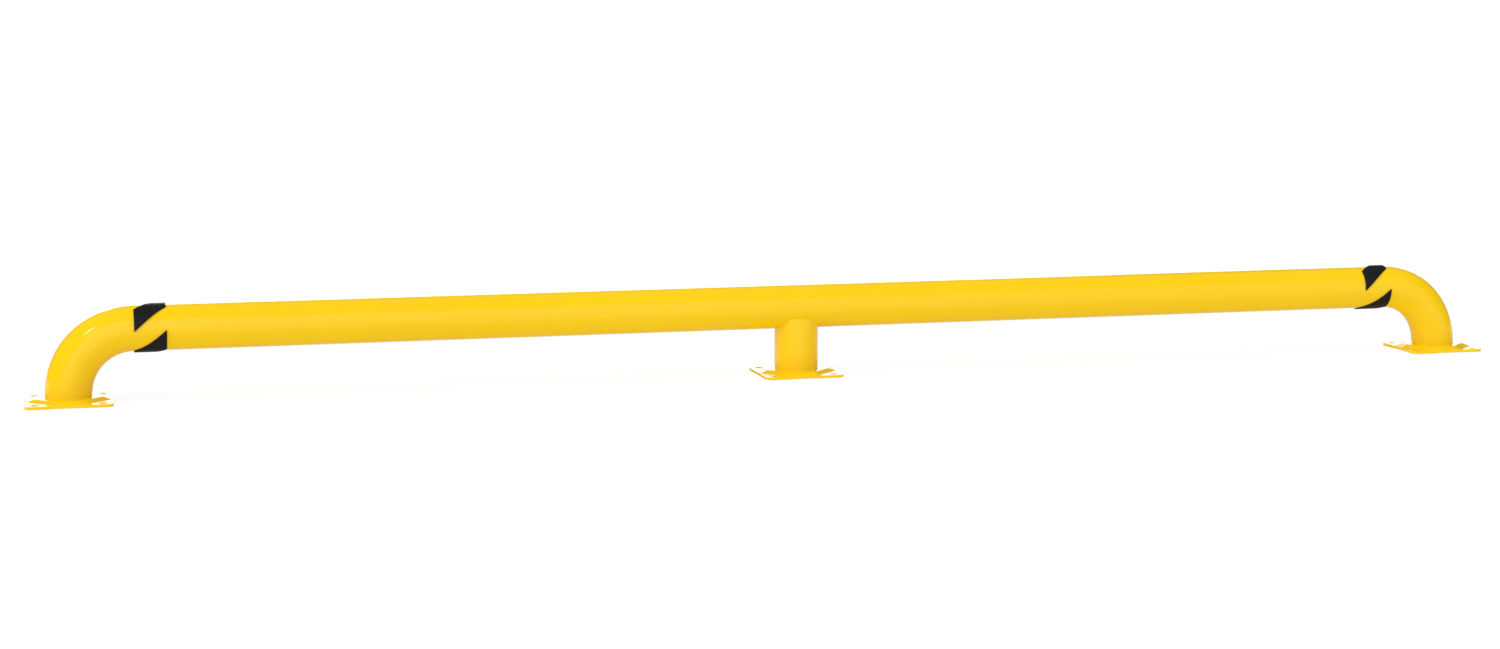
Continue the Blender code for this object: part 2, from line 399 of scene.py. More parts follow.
def orange_peel_group(cloud_ends: tuple[float, float] = (0.35, 0.65)) -> bpy.types.NodeTree:
    """Makes the fine waviness that a sprayed or moulded surface has.

    Args:
        cloud_ends: Noise levels between which the tone changes.

    Returns:
        A shader node group that puts out a height and a mask for slight changes of tone.
    """
    inputs = [
        ("Peel size", "NodeSocketFloat", 0.003), ("Grain size", "NodeSocketFloat", 0.0006),
        ("Grain share", "NodeSocketFloat", 0.02), ("Cloud size", "NodeSocketFloat", 0.25),
    ]
    outputs = [("Height", "NodeSocketFloat"), ("Cloud", "NodeSocketFloat")]
    sheet, given, result = group_tree("ShaderNodeTree", "orange_peel", inputs, outputs)
    place = sheet.add("ShaderNodeTexCoord").outputs["Object"]
    noises = {}
    for label, detail in (("Peel size", 1.0), ("Grain size", 0.0), ("Cloud size", 2.0)):
        scale = sheet.math("DIVIDE", 1.0, given[label])
        feeds = {"Vector": place, "Scale": scale, "Detail": detail}
        noises[label] = sheet.call("ShaderNodeTexNoise", feeds).outputs["Fac"]
    grain = sheet.math("MULTIPLY", noises["Grain size"], given["Grain share"])
    sheet.feed(result.inputs["Height"], sheet.math("ADD", noises["Peel size"], grain))
    sheet.feed(result.inputs["Cloud"], sheet.ramp(noises["Cloud size"], cloud_ends))
    return sheet.tree


@dataclass(frozen=True)
class WavyFinish:
    """Finish whose tone and gloss change slightly over fine waves."""

    slot: Slot
    colour: tuple[float, float, float]
    shade: tuple[float, float, float]
    roughness: float
    roughness_change: float
    specular: float
    peel_size: float
    peel_height: float
    # Darker tint painted on the holes' walls as shade, or None.
    hole_shade: tuple[float, float, float] | None = None

    def make(self, peel: bpy.types.NodeTree) -> bpy.types.Material:
        """Builds the material.

        Args:
            peel: Node group of the fine waves.

        Returns:
            The material.
        """
        material = bpy.data.materials.new(self.slot.value)
        material.use_nodes = True
        sheet = NodeSheet(material.node_tree)
        shader = material.node_tree.nodes["Principled BSDF"]
        shader.inputs["Specular IOR Level"].default_value = self.specular
        waves = sheet.call("ShaderNodeGroup", {"Peel size": self.peel_size}, node_tree=peel).outputs
        tone = sheet.blend(waves["Cloud"], (*self.colour, 1.0), (*self.shade, 1.0))
        # Painted shade: the darker tint is mixed in where the mask marks the holes' walls.
        if self.hole_shade:
            share = sheet.add("ShaderNodeAttribute", attribute_type="GEOMETRY", attribute_name=HOLE_SHADE_MASK)
            tone = sheet.blend(share.outputs["Fac"], tone, (*self.hole_shade, 1.0))
        sheet.feed(shader.inputs["Base Color"], tone)
        rough = sheet.math("MULTIPLY_ADD", waves["Cloud"], self.roughness_change, self.roughness)
        sheet.feed(shader.inputs["Roughness"], rough)
        bump = sheet.call(
            "ShaderNodeBump", {"Height": waves["Height"], "Strength": 1.0, "Distance": self.peel_height}
        )
        sheet.feed(shader.inputs["Normal"], bump.outputs["Normal"])
        return material


@dataclass(frozen=True)
class YellowCoat(WavyFinish):
    """Gloss powder coat over steel, with painted shade: a duller, darker tint on the walls of the plates'
    holes.
    """

    slot: Slot = Slot.YELLOW
    colour: tuple[float, float, float] = (0.92, 0.584, 0.006)
    shade: tuple[float, float, float] = (0.91, 0.572, 0.0048)
    roughness: float = 0.085
    roughness_change: float = 0.02
    specular: float = 0.5
    peel_size: float = 0.006
    peel_height: float = 0.000007
    # Darker tint painted on the holes' walls as shade.
    hole_shade: tuple[float, float, float] | None = (0.56, 0.47, 0.06)


@dataclass(frozen=True)
class BlackStripFinish(WavyFinish):
    """Satin black strip with a fine grain."""

    slot: Slot = Slot.BLACK
    colour: tuple[float, float, float] = (0.0108, 0.0116, 0.0132)
    shade: tuple[float, float, float] = (0.0128, 0.0136, 0.0152)
    roughness: float = 0.42
    roughness_change: float = 0.08
    specular: float = 0.16
    peel_size: float = 0.0012
    peel_height: float = 0.00002


@dataclass(frozen=True)
class GuardSizes:
    """Sizes that several pieces share, in metres."""

    tube_radius: float
    wall: float
    leg_x: float
    rail_height: float
    foot_height: float

    @classmethod
    def from_frame(cls, wall: float = 0.003) -> "GuardSizes":
        """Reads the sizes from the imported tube's box.

        Args:
            wall: Thickness of the tube's wall.

        Returns:
            The sizes.
        """
        low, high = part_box("guard_tube")
        radius = (high.y - low.y) / 2.0
        return cls(radius, wall, high.x - radius, high.z - radius, low.z)

    def station_x(self, station: Station) -> float:
        """Returns where a station stands along the rail."""
        return {Station.LEFT: -self.leg_x, Station.CENTRE: 0.0, Station.RIGHT: self.leg_x}[station]


@dataclass
class GuardTube:
    """Rail, bends and legs, bent from one tube."""

    sizes: GuardSizes
    bend_radius: float = 0.1065
    sides: int = 112
    bend_steps: int = 36
    sharp_angle: float = 40.0

    def tree(self) -> bpy.types.NodeTree:
        """Makes the node tree that sweeps a round section along the filleted centre line.

        Returns:
            The geometry node tree.
        """
        sheet, given, result = geometry_tree(
            "bent_tube", ("Leg X", "Rail height", "Foot height", "Bend radius", "Tube radius"),
            ("Sides", "Bend steps"),
        )
        # The line has four points: left foot, left corner, right corner, right foot.
        index = sheet.add("GeometryNodeInputIndex").outputs[0]
        past_middle = sheet.math("GREATER_THAN", index, 1.5)
        side = sheet.math("MULTIPLY_ADD", past_middle, 2.0, -1.0)
        past_first, before_last = sheet.math("GREATER_THAN", index, 0.5), sheet.math("LESS_THAN", index, 2.5)
        upper = sheet.math("MULTIPLY", past_first, before_last)
        rise = sheet.math("SUBTRACT", given["Rail height"], given["Foot height"])
        height = sheet.math("MULTIPLY_ADD", upper, rise, given["Foot height"])
        corner = sheet.point(sheet.math("MULTIPLY", side, given["Leg X"]), 0.0, height)
        line = sheet.call("GeometryNodeMeshLine", {"Count": 4})
        path = sheet.call("GeometryNodeSetPosition", {"Geometry": line.outputs[0], "Position": corner})
        curve = sheet.call("GeometryNodeMeshToCurve", {0: path.outputs[0]})
        bent = sheet.call(
            "GeometryNodeFilletCurve",
            {"Curve": curve.outputs[0], "Count": given["Bend steps"], "Radius": given["Bend radius"]},
            mode="POLY",
        )
        section = sheet.call(
            "GeometryNodeCurvePrimitiveCircle",
            {"Resolution": given["Sides"], "Radius": given["Tube radius"]},
            mode="RADIUS",
        )
        swept = sheet.call(
            "GeometryNodeCurveToMesh", {"Curve": bent.outputs[0], "Profile Curve": section.outputs[0]}
        )
        end_tree(sheet, swept.outputs[0], given["Finish"], result)
        return sheet.tree

    def build(self, finish: bpy.types.Material) -> list[bpy.types.Object]:
        """Builds the tube.

        Args:
            finish: Its material.

        Returns:
            The finished piece, in a list.
        """
        tube = grow("bent_tube", self.tree(), {
            "Leg X": self.sizes.leg_x, "Rail height": self.sizes.rail_height,
            "Foot height": self.sizes.foot_height, "Bend radius": self.bend_radius,
            "Tube radius": self.sizes.tube_radius, "Sides": self.sides, "Bend steps": self.bend_steps,
            "Finish": finish,
        })
        add_wall(tube, self.sizes.wall)
        finish_piece(tube, ["guard_tube"], self.sharp_angle)
        return [tube]


@dataclass
class CentrePost:
    """Short post under the middle of the rail, coped to saddle it."""

    sizes: GuardSizes
    sides: int = 112
    sharp_angle: float = 40.0

    def tree(self) -> bpy.types.NodeTree:
        """Makes the node tree that cuts the top of a tube to the rail's shape.

        Returns:
            The geometry node tree.
        """
        sheet, given, result = geometry_tree(
            "coped_post", ("Rail height", "Foot height", "Tube radius", "Ledge drop", "Ledge blend"),
            ("Sides",),
        )
        tube = sheet.call(
            "GeometryNodeMeshCylinder",
            {"Vertices": given["Sides"], "Side Segments": 1, "Radius": given["Tube radius"], "Depth": 1.0},
            fill_type="NONE",
        )
        place = sheet.parts("GeometryNodeInputPosition", "Position")
        along = sheet.math("ABSOLUTE", place["X"])
        drop = sheet.math("SMOOTH_MAX", along, given["Ledge drop"], given["Ledge blend"])
        cope = sheet.math("SUBTRACT", given["Rail height"], drop)
        upper = sheet.math("GREATER_THAN", place["Z"], 0.0)
        span = sheet.math("SUBTRACT", cope, given["Foot height"])
        height = sheet.math("MULTIPLY_ADD", upper, span, given["Foot height"])
        point = sheet.point(place["X"], place["Y"], height)
        cut = sheet.call("GeometryNodeSetPosition", {"Geometry": tube.outputs["Mesh"], "Position": point})
        end_tree(sheet, cut.outputs[0], given["Finish"], result)
        return sheet.tree

    def build(self, finish: bpy.types.Material) -> list[bpy.types.Object]:
        """Builds the post.

        Args:
            finish: Its material.

        Returns:
            The finished piece, in a list.
        """
        post = grow("coped_post", self.tree(), {
            "Rail height": self.sizes.rail_height, "Foot height": self.sizes.foot_height,
            "Tube radius": self.sizes.tube_radius, "Ledge drop": LEDGE_DROP, "Ledge blend": LEDGE_BLEND,
            "Sides": self.sides, "Finish": finish,
        })
        add_wall(post, self.sizes.wall)
        finish_piece(post, ["centre_post"], self.sharp_angle)
        return [post]


@dataclass
class WeldBeads:
    """Fillet beads round the feet and along the seam of the post, under the coat."""

    sizes: GuardSizes
    leg: float = 0.0014
    crown: float = -0.0002
    embed: float = 0.0001
    face_steps: int = 8
    stations: int = 288
    ripple_pitch: float = 0.0024
    ripple_height: float = 0.00005
    ripple_bow: float = 0.9
    corner_share: float = 1.0 / 6.0
    seam_step: float = 0.001
    sharp_angle: float = 50.0

    def tree(self) -> bpy.types.NodeTree:
        """Makes the node tree that raises crescent ripples along a bead.

        Returns:
            The geometry node tree.
        """
        sheet, given, result = geometry_tree("weld_ripples", ("Ripples", "Ripple height", "Bow"))
        along, across = (
            sheet.call("GeometryNodeInputNamedAttribute", {"Name": name}, data_type="FLOAT").outputs[0]
            for name in ("along", "across")
        )
        middle = sheet.math("SUBTRACT", across, 0.5)
        bow = sheet.math("MULTIPLY", sheet.math("MULTIPLY", middle, middle), given["Bow"])
        turns = sheet.math("ADD", sheet.math("MULTIPLY", along, given["Ripples"]), bow)
        wave = sheet.math("COSINE", sheet.math("MULTIPLY", turns, math.tau))
        fade = sheet.math("SINE", sheet.math("MULTIPLY", across, math.pi))
        lift = sheet.math("MULTIPLY", sheet.math("MULTIPLY", wave, fade), given["Ripple height"])
        offset = sheet.call(
            "ShaderNodeVectorMath", {0: sheet.add("GeometryNodeInputNormal").outputs[0], "Scale": lift},
            operation="SCALE",
        )
        moved = sheet.call(
            "GeometryNodeSetPosition", {"Geometry": given["Geometry"], "Offset": offset.outputs[0]}
        )
        end_tree(sheet, moved.outputs[0], given["Finish"], result)
        return sheet.tree

    def shares(self) -> list[float]:
        """Lists the places of the face's points between its toes, from 0 to 1."""
        return [step / self.face_steps for step in range(self.face_steps + 1)]

    def face(self, upper: Vector, lower: Vector, outward: Vector, crown: float) -> list[Vector]:
        """Lists the points of a bead's face between its two toes.

        Args:
            upper: Toe on the tube or the rail.
            lower: Toe on the plate or the post.
            outward: Direction that the face looks in.
            crown: Height of its middle over the straight line between the toes.

        Returns:
            The points, the toes included.
        """
        return [upper.lerp(lower, t) + outward * crown * math.sin(math.pi * t) for t in self.shares()]

    def foot_section(self, turn: float) -> list[Vector]:
        """Section of a foot's bead, turned about the foot's axis.

        Args:
            turn: Angle about the axis.

        Returns:
            The section's points: the root, then the face.
        """
        radius = self.sizes.tube_radius
        sunk_radius = radius - self.embed
        sunk_height = self.sizes.foot_height - self.embed - SEAT_GAP
        upper = Vector((sunk_radius, 0.0, sunk_height + self.leg))
        lower = Vector((radius + self.leg, 0.0, sunk_height))
        outward = Vector((1.0, 0.0, 1.0)).normalized()
        flat = [Vector((sunk_radius, 0.0, sunk_height)), *self.face(upper, lower, outward, self.crown)]
        return [Vector((p.x * math.cos(turn), p.x * math.sin(turn), p.z)) for p in flat]

    def saddle_section(self, turn: float) -> list[Vector]:
        """Section of the seam's bead between post and rail.

        Args:
            turn: Angle about the post's axis.

        Returns:
            The section's points: the root, then the face.
        """
        sizes = self.sizes
        radius, rail = sizes.tube_radius, sizes.rail_height
        across, aside = math.cos(turn), math.sin(turn)
        drop = seam_drop(radius, across)
        corner = Vector((radius * across, radius * aside, rail - drop))
        lower = Vector((corner.x, corner.y, corner.z - self.leg)) - Vector((across, aside, 0.0)) * self.embed
        step = self.seam_step
        ahead, behind = (seam_drop(radius, math.cos(turn + change)) for change in (step, -step))
        fall = (ahead - behind) / (2.0 * step)
        along = Vector((-radius * aside, radius * across, -fall)).normalized()
        off_rail = Vector((0.0, corner.y, corner.z - rail)).normalized()
        up_the_rail = off_rail.cross(along)
        upper = self.onto_rail(corner + up_the_rail * self.leg)
        root = self.onto_rail(corner + up_the_rail * self.embed)
        outward = (lower - upper).cross(along).normalized()
        proud = (corner - upper).dot(outward)
        crown = self.crown + (proud + math.hypot(proud, self.leg * self.corner_share)) / 2.0
        return [root, *self.face(upper, lower, outward, crown)]

    def onto_rail(self, point: Vector) -> Vector:
        """Moves a point to just under the rail's surface.

        Args:
            point: Any point near the rail.

        Returns:
            The nearest point of the sunk surface.
        """
        spoke = Vector((0.0, point.y, point.z - self.sizes.rail_height))
        spoke = spoke.normalized() * (self.sizes.tube_radius - self.embed)
        return Vector((point.x, spoke.y, self.sizes.rail_height + spoke.z))

    def loft(self, name: str, section: Callable[[float], list[Vector]], centre_x: float) -> bpy.types.Object:
        """Lofts a closed ring through the sections.

        Args:
            name: Name of the piece.
            section: Gives the section at an angle.
            centre_x: Where the ring's axis stands along the rail.

        Returns:
            The object, with its place along and across the bead as attributes.
        """
        rings = [section(math.tau * k / self.stations) for k in range(self.stations)]
        count = len(rings[0])
        verts = [point + Vector((centre_x, 0.0, 0.0)) for ring in rings for point in ring]
        faces = []
        for k in range(self.stations):
            here, there = k * count, (k + 1) % self.stations * count
            for i in range(count):
                j = (i + 1) % count
                faces.append((here + i, here + j, there + j, there + i))
        mesh = bpy.data.meshes.new(name)
        mesh.from_pydata(verts, [], faces)
        along = [k / self.stations for k in range(self.stations) for _ in range(count)]
        across = [0.0, *self.shares()] * self.stations
        for label, values in (("along", along), ("across", across)):
            mesh.attributes.new(label, "FLOAT", "POINT").data.foreach_set("value", values)
        if volume_of(mesh) < 0.0:
            mesh.flip_normals()
        return new_object(name, mesh)

    def build(self, finish: bpy.types.Material) -> list[bpy.types.Object]:
        """Builds the beads at the three feet and at the post's seam.

        Args:
            finish: Their material.

        Returns:
            The finished pieces.
        """
        tree = self.tree()
        beads = {
            f"{station.value}_foot_weld": self.loft(
                f"{station.value}_foot_bead", self.foot_section, self.sizes.station_x(station)
            )
            for station in Station
        }
        beads["saddle_weld"] = self.loft("saddle_bead", self.saddle_section, 0.0)
        ripples = round(math.tau * self.sizes.tube_radius / self.ripple_pitch)
        for node, bead in beads.items():
            run_tree(bead, tree, {
                "Ripples": float(ripples), "Ripple height": self.ripple_height, "Bow": self.ripple_bow,
                "Finish": finish,
            })
            bake(bead)
            finish_piece(bead, [node], self.sharp_angle)
        return list(beads.values())


@dataclass
class BasePlates:
    """Pressed plates with a raised eight-sided seat, flat corner pads and four holes each."""

    sizes: GuardSizes
    thickness: float = 0.005
    seat_raise: float = 0.0053
    slope_run: float = 0.015
    seat_margin_diagonal: float = 0.0098
    corner_radius: float = 0.009
    crease_round: float = 0.0011
    edge_round: float = 0.0014
    hole_radius: float = 0.007
    hole_setback_length: float = 0.016
    hole_setback_width: float = 0.0135
    grid_step: float = 0.002
    arc_steps: int = 10
    hole_sides: int = 40
    edge_steps: int = 4
    slope_step: float = 0.00002
    net_tolerance: float = 1e-7

    def __post_init__(self) -> None:
        """Reads the plate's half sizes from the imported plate's box."""
        low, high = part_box("centre_base_plate")
        self.half_length = (high.x - low.x) / 2.0
        self.half_width = (high.y - low.y) / 2.0
        self.slope_foot_diagonal = self.sizes.tube_radius + self.seat_margin_diagonal + self.slope_run

    def holes(self) -> list[Vector]:
        """Lists the holes' centres."""
        x, y = self.half_length - self.hole_setback_length, self.half_width - self.hole_setback_width
        return [Vector((side_x, side_y)) for side_x in (-x, x) for side_y in (-y, y)]

    def inside_outline(self, x: float, y: float) -> float:
        """Measures how far a point is inside the plate's round-cornered outline.

        Args:
            x: Place along the plate, from its middle.
            y: Place across the plate, from its middle.

        Returns:
            The distance to the outline, negative outside it.
        """
        past_x = abs(x) - (self.half_length - self.corner_radius)
        past_y = abs(y) - (self.half_width - self.corner_radius)
        round_corner = self.corner_radius - math.hypot(max(past_x, 0.0), max(past_y, 0.0))
        return round_corner - min(max(past_x, past_y), 0.0)

    def outside_holes(self, x: float, y: float) -> float:
        """Measures how far a point is outside the nearest hole, negative inside it."""
        return min(math.hypot(x - hole.x, y - hole.y) for hole in self.holes()) - self.hole_radius

    def from_edges(self, x: float, y: float) -> float:
        """Measures how far a point of the sheet is from the nearest edge, negative off the sheet."""
        return min(self.inside_outline(x, y), self.outside_holes(x, y))

    def raise_at(self, x: float, y: float) -> float:
        """Height that the press gives a point of the sheet.

        Args:
            x: Place along the plate, from its middle.
            y: Place across the plate, from its middle.

        Returns:
            The height over the corner pads.
        """
        slope = self.seat_raise / self.slope_run
        blend = self.crease_round / slope
        side = soft_min(self.half_length - abs(x), self.half_width - abs(y), blend)
        corner = self.slope_foot_diagonal - (abs(x) + abs(y)) / math.sqrt(2.0)
        corner = -soft_min(-corner, 0.0, blend)
        rise = soft_min(side, corner, blend) * slope
        return soft_min(rise, self.seat_raise, self.crease_round)

    def edge_drop(self, x: float, y: float) -> float:
        """Depth that the rounded edges fall below the sheet's face at a point.

        Args:
            x: Place along the plate, from its middle.
            y: Place across the plate, from its middle.

        Returns:
            The depth, which is zero away from the edges.
        """
        inset = min(max(self.from_edges(x, y), 0.0), self.edge_round)
        return self.edge_round - math.sqrt(self.edge_round ** 2 - (self.edge_round - inset) ** 2)

    def outline(self, inset: float) -> list[Vector]:
        """Lists the points of the outline, moved inwards.

        Args:
            inset: Distance that it is moved inwards.

        Returns:
            The points, in order.
        """
        x, y = self.half_length - self.corner_radius, self.half_width - self.corner_radius
        reach = self.corner_radius - inset
        points = []
        for quarter, (middle_x, middle_y) in enumerate(((x, y), (-x, y), (-x, -y), (x, -y))):
            for step in range(self.arc_steps + 1):
                turn = math.radians(90.0) * (quarter + step / self.arc_steps)
                points.append(Vector((middle_x + reach * math.cos(turn), middle_y + reach * math.sin(turn))))
        return self.with_even_steps(points)

    def with_even_steps(self, points: list[Vector]) -> list[Vector]:
        """Splits the long straight stretches of a closed outline.

        Args:
            points: The outline's points, in order.

        Returns:
            The points with others between them.
        """
        result = []
        for here, there in zip(points, points[1:] + points[:1]):
            count = max(1, round((there - here).length / self.grid_step))
            result += [here.lerp(there, step / count) for step in range(count)]
        return result

    def flat_net(self) -> tuple[list[Vector], list[tuple[int, ...]], list[list[int]]]:
        """Nets the plate's plan with triangles that follow its edges and holes.

        Returns:
            The points, the triangles, and the loops of points on the outline and the holes.
        """
        turns = [math.radians(90.0) * k / self.edge_steps for k in range(self.edge_steps + 1)]
        points, edges, border = [], [], []
        for k, inset in enumerate(self.edge_round * (1.0 - math.cos(turn)) for turn in turns):
            loops = [self.outline(inset)]
            for hole in self.holes():
                reach = self.hole_radius + inset
                around = [math.tau * n / self.hole_sides for n in range(self.hole_sides)]
                loops.append([hole + Vector((reach * math.cos(a), reach * math.sin(a))) for a in around])
            for loop in loops:
                first = len(points)
                points += loop
                ids = list(range(first, first + len(loop)))
                edges += list(zip(ids, ids[1:] + ids[:1]))
                if k == 0:
                    border.append(ids)
        clear = self.edge_round + self.grid_step / 2.0
        columns = int(self.half_length / self.grid_step)
        rows = int(self.half_width / self.grid_step)
        for i in range(-columns, columns + 1):
            for j in range(-rows, rows + 1):
                x, y = i * self.grid_step, j * self.grid_step
                if self.from_edges(x, y) > clear:
                    points.append(Vector((x, y)))
        net_points, _, net_faces, sources, _, _ = delaunay_2d_cdt(points, edges, [], 0, self.net_tolerance)
        place = {source: index for index, group in enumerate(sources) for source in group}
        kept = []
        for face in net_faces:
            middle = sum((net_points[i] for i in face), Vector((0.0, 0.0))) / len(face)
            if self.from_edges(*middle) > 0.0:
                kept.append(tuple(face))
        return list(net_points), kept, [[place[i] for i in loop] for loop in border]

    def surface_normal(self, height: Callable[[float, float], float], x: float, y: float) -> Vector:
        """Works out a height function's normal.

        Args:
            height: Gives the height at a point.
            x: Place along the plate, from its middle.
            y: Place across the plate, from its middle.

        Returns:
            The normal, upwards.
        """
        step = self.slope_step
        slope_x = (height(x + step, y) - height(x - step, y)) / (2.0 * step)
        slope_y = (height(x, y + step) - height(x, y - step)) / (2.0 * step)
        return Vector((-slope_x, -slope_y, 1.0)).normalized()

    def mesh_at(self, name: str, centre_x: float, finish: bpy.types.Material) -> bpy.types.Mesh:
        """Presses one plate from the flat net.

        Args:
            name: Name of the mesh.
            centre_x: Where the plate's middle stands along the rail.
            finish: Its material.

        Returns:
            The mesh.
        """
        points, triangles, border = self.net
        count = len(points)
        on_border = {index for loop in border for index in loop}
        verts, normals = [], []
        for top in (True, False):
            for index, (x, y) in enumerate(points):
                rise, drop = self.raise_at(x, y), self.edge_drop(x, y)
                height = self.thickness + rise - drop if top else rise + drop
                verts.append(Vector((centre_x + x, y, height)))
                normals.append(self.normal_of(x, y, top, index in on_border))
        faces = [tuple(face) for face in triangles]
        faces += [tuple(count + i for i in reversed(face)) for face in triangles]
        for number, loop in enumerate(border):
            for here, there in zip(loop, loop[1:] + loop[:1]):
                side = (here, count + here, count + there, there)
                faces.append(side if number == 0 else tuple(reversed(side)))
        mesh = bpy.data.meshes.new(name)
        mesh.from_pydata(verts, [], faces)
        mesh.materials.append(finish)
        # Mask of the painted shade: 1 on the points of the holes' edges, so their walls get the darker tint.
        in_holes = {index for loop in border[1:] for index in loop}
        hole_shade = [float(index in in_holes) for index in range(count)]
        mesh.attributes.new(HOLE_SHADE_MASK, "FLOAT", "POINT").data.foreach_set("value", hole_shade + hole_shade)
        mesh.shade_smooth()
        mesh.normals_split_custom_set_from_vertices(normals)
        return mesh

    def normal_of(self, x: float, y: float, top: bool, on_border: bool) -> Vector:
        """Gives the true normal of a point of the pressed plate.

        Args:
            x: Place along the plate, from its middle.
            y: Place across the plate, from its middle.
            top: True for the upper face.
            on_border: True where the point lies on the outline or on a hole's edge.

        Returns:
            The normal, outwards.
        """
        face = self.surface_normal(self.raise_at, x, y)
        share = 1.0 if on_border else max(0.0, 1.0 - self.from_edges(x, y) / self.edge_round)
        if not top:
            face = -face
        if share <= 0.0:
            return face
        reach = self.surface_normal(self.from_edges, x, y)
        away = Vector((reach.x, reach.y, 0.0)).normalized()
        return (face * math.sqrt(max(0.0, 1.0 - share ** 2)) + away * share).normalized()

    def build(self, finish: bpy.types.Material) -> list[bpy.types.Object]:
        """Builds the three plates.

        Args:
            finish: Their material.

        Returns:
            The finished pieces.
        """
        self.net = self.flat_net()
        plates = []
        for station in Station:
            name = f"{station.value}_plate"
            plate = new_object(name, self.mesh_at(name, self.sizes.station_x(station), finish))
            declare_piece(plate, [f"{station.value}_base_plate"])
            plates.append(plate)
        return plates


@dataclass
class StripBands:
    """Bands of black strips that climb round the rail beside each bend."""

    sizes: GuardSizes
    bend_start: float = 1.1315
    width: float = 0.052
    thickness: float = 0.0024
    span: float = math.radians(59.5)
    climb: float = math.radians(68.0)
    start: float = math.radians(-2.4)
    turn_under: float = math.radians(-124.6)
    turn_back: float = math.radians(120.0)
    right_shift: float = -0.0016
    edge_round: float = 0.0005
    edge_segments: int = 3
    edge_angle: float = 50.0
    sharp_angle: float = 60.0
    steps_along: int = 32
    steps_round: int = 24

    def tree(self) -> bpy.types.NodeTree:
        """Makes the node tree that wraps one strip of even thickness round the rail.

        Returns:
            The geometry node tree.
        """
        sheet, given, result = geometry_tree(
            "wrapped_strip",
            ("Start X", "Width", "Radius", "Thickness", "Rail height", "Start angle", "Span", "Climb"),
            ("Points along", "Points round"),
        )
        block = sheet.call("GeometryNodeMeshCube", {
            "Size": (1.0, 1.0, 1.0), "Vertices X": given["Points along"], "Vertices Y": given["Points round"],
            "Vertices Z": 2,
        })
        place = sheet.parts("GeometryNodeInputPosition", "Position")
        along, round_it, out = (sheet.math("ADD", place[axis], 0.5) for axis in ("X", "Y", "Z"))
        climbed = sheet.math("MULTIPLY_ADD", along, given["Climb"], given["Start angle"])
        turn = sheet.math("MULTIPLY_ADD", round_it, given["Span"], climbed)
        radius = sheet.math("MULTIPLY_ADD", out, given["Thickness"], given["Radius"])
        x = sheet.math("MULTIPLY_ADD", along, given["Width"], given["Start X"])
        y = sheet.math("MULTIPLY", sheet.math("MULTIPLY", sheet.math("COSINE", turn), radius), -1.0)
        z = sheet.math("MULTIPLY_ADD", sheet.math("SINE", turn), radius, given["Rail height"])
        wrapped = sheet.call(
            "GeometryNodeSetPosition", {"Geometry": block.outputs[0], "Position": sheet.point(x, y, z)}
        )
        end_tree(sheet, wrapped.outputs[0], given["Finish"], result)
        return sheet.tree

    def build(self, finish: bpy.types.Material) -> list[bpy.types.Object]:
        """Builds both bands.

        Args:
            finish: The strips' material.

        Returns:
            The finished pieces.
        """
        tree = self.tree()
        starts = {"left": -self.bend_start, "right": self.bend_start - self.width + self.right_shift}
        strips = []
        for side, x in starts.items():
            for label, turn in (("front", 0.0), ("under", self.turn_under), ("back", self.turn_back)):
                strip = grow(f"{side}_black_{label}", tree, {
                    "Start X": x, "Width": self.width, "Radius": self.sizes.tube_radius,
                    "Thickness": self.thickness, "Rail height": self.sizes.rail_height,
                    "Start angle": self.start + turn, "Span": self.span, "Climb": self.climb,
                    "Points along": self.steps_along + 1, "Points round": self.steps_round + 1,
                    "Finish": finish,
                })
                rounding = strip.modifiers.new("rounded_edges", "BEVEL")
                rounding.width = self.edge_round
                rounding.segments = self.edge_segments
                rounding.limit_method = "ANGLE"
                rounding.angle_limit = math.radians(self.edge_angle)
                rounding.use_clamp_overlap = True
                bake(strip)
                finish_piece(strip, [f"{side}_strip_{label}"], self.sharp_angle)
                strips.append(strip)
        return strips


